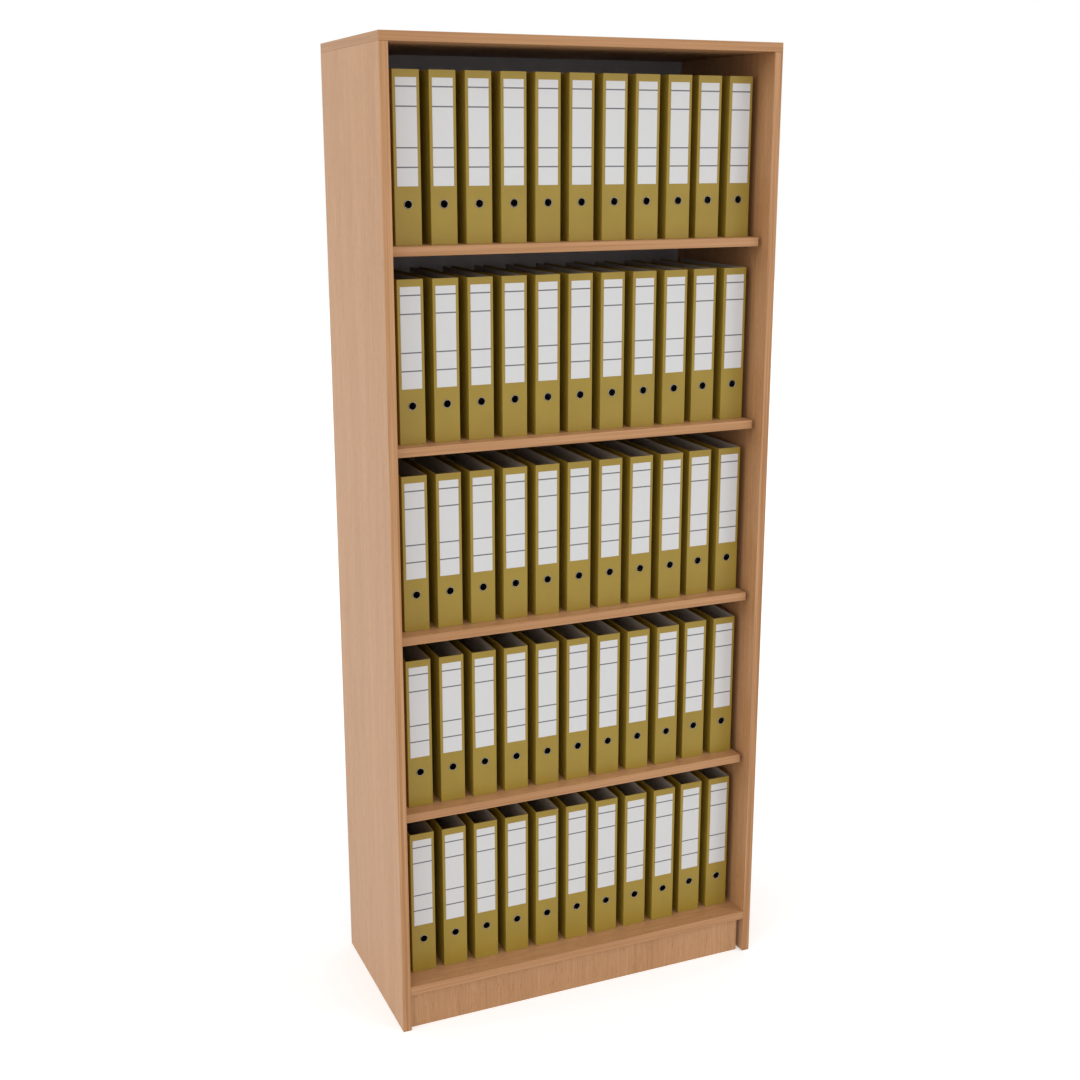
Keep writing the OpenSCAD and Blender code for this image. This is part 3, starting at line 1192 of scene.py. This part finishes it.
@dataclass
class LeverArchFile:
    """One lever-arch file.

    Its place is that of its left, front and lower corner: x = 0 is the left of the spine, y = 0 the
    spine's face and z = 0 the foot.
    """

    width: float
    depth: float
    height: float
    board: float = 2.0 * MM
    spine_radius: float = 1.5 * MM
    rim_radius: float = 0.5 * MM
    crease: float = 11.0 * MM
    crease_w: float = 3.0 * MM
    crease_depth: float = 0.4 * MM
    label_arris: float = 0.1 * MM
    label_rules: tuple[float, ...] = (16.2 * MM, 51.5 * MM, 125.4 * MM, 160.6 * MM)
    rule_t: float = 2.6 * MM
    ring_wall: float = 0.6 * MM
    ring_bore: float = 7.0 * MM
    ring_rim_t: float = 1.0 * MM
    ring_play: float = 0.05 * MM
    ring_steps: int = 32
    lip_steps: int = 8
    drill_l: float = 10.0 * MM
    wire_radius: float = 1.75 * MM
    wire_sides: int = 10
    arch_spacing: float = 80.0 * MM
    arch_radius: float = 17.0 * MM
    arch_leg: float = 20.0 * MM
    arch_steps: int = 12
    plate_t: float = 1.2 * MM
    plate_corner: float = 4.0 * MM
    plate_border: float = 2.5 * MM
    plate_slope: float = 0.6 * MM
    plate_sunk: float = 0.35 * MM
    rivet_in: tuple[float, float] = (7.0 * MM, 8.0 * MM)
    rivet_steps: int = 16
    # Radius and height of each point of a rivet's head, in millimetres
    rivet_profile: Sequence[tuple[float, float]] = ((0, 0.9), (1.4, 0.7), (2.3, 0.2), (2.5, -0.3), (0, -0.3))
    rocker_l: float = 94.0 * MM
    rocker_sides: int = 12
    rocker_arris: float = 0.5 * MM
    lever_l: float = 68.0 * MM
    lever_w: float = 14.0 * MM
    lever_t: float = 1.5 * MM
    lever_rise: float = 9.0 * MM
    lever_corner: float = 5.0 * MM
    lever_arris: float = 0.3 * MM
    joint: float = 0.1 * MM

    def case(self, ring: Box) -> Workpiece:
        """Folds the case: a spine and two covers in one covering, lined inside.

        Args:
            ring: box of the finger ring, which the spine is pierced for.

        Returns:
            The case, open at the top, the foot and the rear.
        """
        whole = Box(Vector((0, 0, 0)), Vector((self.width, self.depth, self.height)))
        piece = Workpiece.block("file_case", whole)
        with piece.editing():
            piece.pick("faces", lambda face: face.normal.y > FACING or abs(face.normal.z) > FACING)
            bpy.ops.mesh.delete(type="FACE")
        piece.round_edges(
            lambda edge: edge_at(edge, Y, 0) and edge_along(edge, Z), self.spine_radius, segments=5,
        )
        self.press_creases(piece)
        piece.dress(Covering().material(), LINING.material())
        piece.apply("SOLIDIFY", thickness=self.board, offset=-1.0, use_even_offset=True, material_offset=1)
        piece.round_edges(lambda edge: is_sharp(edge) and edge.is_convex, self.rim_radius, segments=2)
        radius = self.ring_bore + self.ring_wall + self.ring_play
        drill = Workpiece.rod("drill", (0, 0, -self.drill_l / 2), radius, self.drill_l, self.ring_steps)
        place = Matrix.Translation((ring.centre.x, 0, ring.centre.z)) @ lay_along(Y)
        return piece.cut_away([drill.moved(place)]).soften(degrees=50)

    def press_creases(self, piece: Workpiece) -> None:
        """Presses the hinge crease into both covers, just behind the spine.

        Args:
            piece: the case, still without its thickness.
        """
        with piece.editing("VERT"):
            for place in (-self.crease_w / 2, 0, self.crease_w / 2):
                bpy.ops.mesh.select_all(action="SELECT")
                bpy.ops.mesh.bisect(plane_co=(0, self.crease + place, 0), plane_no=(0, 1, 0))
            for cover, inward in ((0, 1), (self.width, -1)):
                piece.pick("verts", lambda vert: (
                    abs(vert.co.y - self.crease) < SAME and abs(vert.co.x - cover) < SAME
                ))
                bpy.ops.transform.translate(value=(inward * self.crease_depth, 0, 0))

    def label(self, box: Box) -> Workpiece:
        """Cuts the spine label and prints its grey rules.

        Args:
            box: box of the label.

        Returns:
            The label.
        """
        piece = Workpiece.block("spine_label", box).break_arrises(self.label_arris, segments=1)
        rules = [box.high.z - rule for rule in self.label_rules]
        with piece.editing():
            for cut in (rule + half for rule in rules for half in (-self.rule_t / 2, self.rule_t / 2)):
                bpy.ops.mesh.select_all(action="SELECT")
                bpy.ops.mesh.bisect(plane_co=(0, 0, cut), plane_no=(0, 0, 1))
        near = self.rule_t / 3
        piece.dress(LABEL_PAPER.material(), RULE_PRINT.material())
        return piece.repaint(1, lambda face: any(abs(face.center.z - rule) < near for rule in rules))

    def ring(self, box: Box) -> Workpiece:
        """Spins the finger ring: a rolled lip in front, a tube and a flange behind the spine.

        Args:
            box: box of the ring.

        Returns:
            The ring.
        """
        rim = box.size.x / 2
        tube = self.ring_bore + self.ring_wall
        middle, half = (rim + self.ring_bore) / 2, (rim - self.ring_bore) / 2
        lip = [
            (middle + half * math.cos(turn), -self.ring_rim_t * math.sin(turn))
            for turn in (math.pi * step / self.lip_steps for step in range(self.lip_steps + 1))
        ]
        rear = box.high.y
        flange = [(self.ring_bore, rear), (rim, rear), (rim, self.board), (tube, self.board), (tube, 0)]
        profile = [*lip, *flange, lip[0]]
        piece = Workpiece.turned("finger_ring", profile, self.ring_steps)
        place = Matrix.Translation((box.centre.x, 0, box.centre.z)) @ lay_along(Y)
        return piece.moved(place).soften(degrees=50).dress(RING_PLATE.material())

    def mechanism(self, box: Box) -> Workpiece:
        """Builds the lever arch mechanism on the inside of the left cover.

        Args:
            box: box of the mechanism.

        Returns:
            Its plate, rivets, rocker, two arches and lever, in one object.
        """
        face = box.low.x + self.plate_t
        arch_y = box.centre.y
        middle = box.centre.z
        plate = Workpiece.block("plate", Box(box.low.copy(), Vector((face, box.high.y, box.high.z))))
        plate.round_edges(lambda edge: edge_along(edge, X), self.plate_corner, segments=4)
        with plate.editing():
            plate.pick("faces", lambda side: side.normal.x > FACING)
            bpy.ops.mesh.inset(thickness=self.plate_border)
            bpy.ops.mesh.inset(thickness=self.plate_slope, depth=-self.plate_sunk)
        parts = [plate]
        rivet_y, rivet_z = self.rivet_in
        profile = [(radius * MM, height * MM) for radius, height in self.rivet_profile]
        for y in (box.low.y + rivet_y, box.high.y - rivet_y):
            for z in (box.low.z + rivet_z, box.high.z - rivet_z):
                rivet = Workpiece.turned("rivet", profile, self.rivet_steps).soften(degrees=50)
                parts.append(rivet.moved(Matrix.Translation((face, y, z)) @ lay_along(X)))
        rocker_x = face + self.wire_radius + self.joint
        rocker = Workpiece.rod(
            "rocker", (rocker_x, arch_y - self.arch_radius, middle - self.rocker_l / 2),
            self.wire_radius, self.rocker_l, self.rocker_sides,
        )
        parts.append(rocker.break_arrises(self.rocker_arris).soften(degrees=50))
        for z in (middle - self.arch_spacing / 2, middle + self.arch_spacing / 2):
            parts.append(self.arch(face, arch_y, z))
        parts.append(self.lever(face + self.joint, arch_y, middle))
        nickel = NICKEL.material()
        for part in parts:
            part.dress(nickel)
        return Workpiece.joined("lever_mechanism", parts)

    def arch(self, face: float, y: float, z: float) -> Workpiece:
        """Bends one wire arch: a leg, a half turn and the second leg.

        Args:
            face: place of the base plate's face.
            y: middle between both legs.
            z: height of the arch.

        Returns:
            The arch.
        """
        front = face + 2 * self.wire_radius + 2 * self.joint
        rear = face + self.joint
        top = face + self.arch_leg
        clear_selection()
        bpy.ops.mesh.primitive_circle_add(
            vertices=self.wire_sides, radius=self.wire_radius, fill_type="NGON",
            location=(front, y - self.arch_radius, z), rotation=(0, math.pi / 2, 0),
        )
        piece = Workpiece(bpy.context.object, "arch")
        bpy.ops.object.transform_apply(location=True, rotation=True, scale=True)
        with piece.editing():
            bpy.ops.mesh.select_all(action="SELECT")
            bpy.ops.mesh.extrude_region_move(TRANSFORM_OT_translate={"value": (top - front, 0, 0)})
            bpy.ops.mesh.spin(steps=self.arch_steps, angle=math.pi, center=(top, y, z), axis=(0, 0, -1))
            reached = max(vert.co.y for vert in bmesh.from_edit_mesh(piece.item.data).verts)
            if reached < y:
                raise ValueError("the arch was bent the wrong way")
            bpy.ops.mesh.extrude_region_move(TRANSFORM_OT_translate={"value": (rear - top, 0, 0)})
            piece.tidy_seams()
        return piece.soften(degrees=50)

    def lever(self, foot: float, y: float, z: float) -> Workpiece:
        """Cranks the lever strip: it leaves the plate at a slant and runs up the file.

        Args:
            foot: height of the strip's foot over the cover.
            y: middle of its width.
            z: height of its foot in the file.

        Returns:
            The lever.
        """
        rise = self.lever_rise - self.lever_t
        corners = ((foot, z), (foot + rise, z + self.lever_rise), (foot + rise, z + self.lever_l))
        piece = Workpiece.line("lever", [Vector((x, y - self.lever_w / 2, high)) for x, high in corners])
        with piece.editing("VERT"):
            bpy.ops.mesh.select_all(action="SELECT")
            bpy.ops.mesh.extrude_region_move(TRANSFORM_OT_translate={"value": (0, self.lever_w, 0)})
            bpy.ops.mesh.select_all(action="SELECT")
            bpy.ops.mesh.normals_make_consistent(inside=False)
        piece.apply("SOLIDIFY", thickness=self.lever_t, offset=1.0, use_even_offset=True)
        with piece.editing():
            piece.tidy_seams()
        top = max(vert.co.z for vert in piece.item.data.vertices)
        piece.round_edges(
            lambda edge: edge_along(edge, X) and edge_at(edge, Z, top), self.lever_corner, segments=5,
        )
        return piece.break_arrises(self.lever_arris, segments=1).soften(degrees=50)


@dataclass
class Tier:
    """One tier of files: a row that moves as one, and one file by itself."""

    number: int

    def places(self) -> tuple[list[Vector], Vector]:
        """Works out where the files of the tier stand, each from its label.

        Returns:
            The place of each file in the row, and that of the single file.
        """
        single = Box.of_node(f"single_file_{self.number}_boards").low
        to_label = Box.of_node(f"single_file_{self.number}_label").low - single
        labels = solids_of(f"file_row_{self.number}_labels")
        return [label.low - to_label for label in labels], single

    def build(self, masters: dict[str, Workpiece]) -> None:
        """Copies the master file into every slot.

        Args:
            masters: the master pieces: boards, label, finger_ring and mechanism.
        """
        row_body, single_body = f"file_row_{self.number}", f"single_file_{self.number}"
        row_places, single_place = self.places()
        names_and_slots = {
            "boards": ("file_case", "file_cover"),
            "label": ("spine_label", "label_paper"),
            "finger_ring": ("pull_ring", "ring_chrome"),
            "mechanism": ("lever_mechanism", "mechanism_steel"),
        }
        for kind, (name, slot) in names_and_slots.items():
            copies = [
                masters[kind].copy(f"{kind}_{number}", Matrix.Translation(place))
                for number, place in enumerate(row_places, 1)
            ]
            row = Workpiece.joined(f"tier_{self.number}_row_{name}s", copies)
            plural = kind if kind == "boards" else kind + "s"
            row.hand_over(row_body, f"{row_body}_{plural}", slot)
            place = Matrix.Translation(single_place)
            single = masters[kind].copy(f"tier_{self.number}_single_{name}", place)
            single.hand_over(single_body, f"{single_body}_{kind}", slot)


@dataclass(frozen=True)
class SoftLight:
    """A wide light from far away: where it comes from, its spread in degrees and its power."""

    name: str
    comes_from: Point
    spread: float
    power: float

    def hang(self) -> None:
        """Adds the light to the scene."""
        clear_selection()
        bpy.ops.object.light_add(type="SUN")
        light = bpy.context.object
        light.name = self.name
        light.data.angle = math.radians(self.spread)
        light.data.energy = self.power
        light.rotation_euler = (-Vector(self.comes_from)).to_track_quat("-Z", "Y").to_euler()


@dataclass
class Studio:
    """Pale floor, white surroundings, soft light and the camera."""

    floor_size: float = 30.0
    floor_colour: float = 0.8
    floor_lift: float = 0.4
    sky_level: float = 0.72
    lights: tuple[SoftLight, ...] = (
        SoftLight("left_light", (-0.97, -0.26, 0.36), spread=60.0, power=1.0),
        SoftLight("front_light", (0.0, -1.0, 0.45), spread=80.0, power=0.45),
        SoftLight("right_light", (0.7, -0.7, 0.45), spread=18.0, power=0.55),
    )
    camera_place: Point = (-1.2275, -2.8035, 1.7972)
    camera_turn: float = 23.24
    camera_tilt: float = 14.17
    lens: float = 48.88
    shift_y: float = -0.020

    def floor(self) -> None:
        """Lays the floor, which looks white and keeps the object's shadow."""
        clear_selection()
        bpy.ops.mesh.primitive_plane_add(size=self.floor_size)
        floor = bpy.context.object
        floor.name = "studio_floor"
        paint = Paint("studio_floor_white", roughness=1.0, specular=0.0)
        paint.tree.nodes.remove(paint.shader)
        grey = (self.floor_colour,) * 3
        diffuse = paint.add("BsdfDiffuse", {"Color": (*grey, 1.0)})
        strength = paint.add("Math", {0: paint.seen(), 1: self.floor_lift}, operation="MULTIPLY")
        glow = paint.add("Emission", {"Color": WHITE, "Strength": strength.outputs[0]})
        both = paint.add("AddShader", {0: diffuse.outputs[0], 1: glow.outputs[0]})
        output = paint.tree.nodes["Material Output"]
        paint.tree.links.new(both.outputs[0], output.inputs["Surface"])
        floor.data.materials.append(paint.material)

    def sky(self) -> None:
        """Makes the surroundings white to the eye, and a soft even light on the object."""
        world = bpy.data.worlds.new("studio_white")
        bpy.context.scene.world = world
        world.use_nodes = True
        wiring = Wiring(world.node_tree)
        level = wiring.add("MapRange", {"Value": wiring.seen(), "To Min": self.sky_level, "To Max": 1.0})
        background = wiring.tree.nodes["Background"]
        background.inputs["Color"].default_value = WHITE
        wiring.tree.links.new(level.outputs["Result"], background.inputs["Strength"])

    def camera(self) -> None:
        """Sets the camera up where the photograph was taken from."""
        clear_selection()
        turn = (math.radians(90 - self.camera_tilt), 0.0, math.radians(-self.camera_turn))
        bpy.ops.object.camera_add(location=self.camera_place, rotation=turn)
        camera = bpy.context.object
        camera.name = "photo_camera"
        camera.data.lens = self.lens
        camera.data.shift_y = self.shift_y
        bpy.context.scene.camera = camera

    def build(self) -> None:
        """Sets the studio up."""
        self.floor()
        self.sky()
        for light in self.lights:
            light.hang()
        self.camera()
        bpy.context.scene.view_settings.view_transform = "Standard"


def master_file() -> dict[str, Workpiece]:
    """Models one file from the sizes of the first single file.

    Returns:
        Its case, label, ring and mechanism, by the last word of their CAD nodes.
    """
    boards = Box.of_node("single_file_1_boards")
    parts = [Box.of_node(f"single_file_1_{kind}") for kind in ("label", "finger_ring", "mechanism")]
    label, ring, mechanism = (Box(part.low - boards.low, part.high - boards.low) for part in parts)
    file = LeverArchFile(*boards.size)
    return {
        "boards": file.case(ring),
        "label": file.label(label),
        "finger_ring": file.ring(ring),
        "mechanism": file.mechanism(mechanism),
    }


def main() -> None:
    """Builds the bookcase, its shelves, its files and the studio, in that order."""
    logging.basicConfig(level=logging.INFO, format="%(name)s: %(message)s")
    carcass = Carcass(Joinery())
    carcass.build()
    shelf_beech = SHELF_BEECH.material()
    for number in range(1, SHELVES + 1):
        LooseShelf(number).build(shelf_beech, carcass.raw)
    masters = master_file()
    for number in range(1, TIERS + 1):
        Tier(number).build(masters)
    for master in masters.values():
        master.scrap()
    Studio().build()


if __name__ == "__main__":
    main()
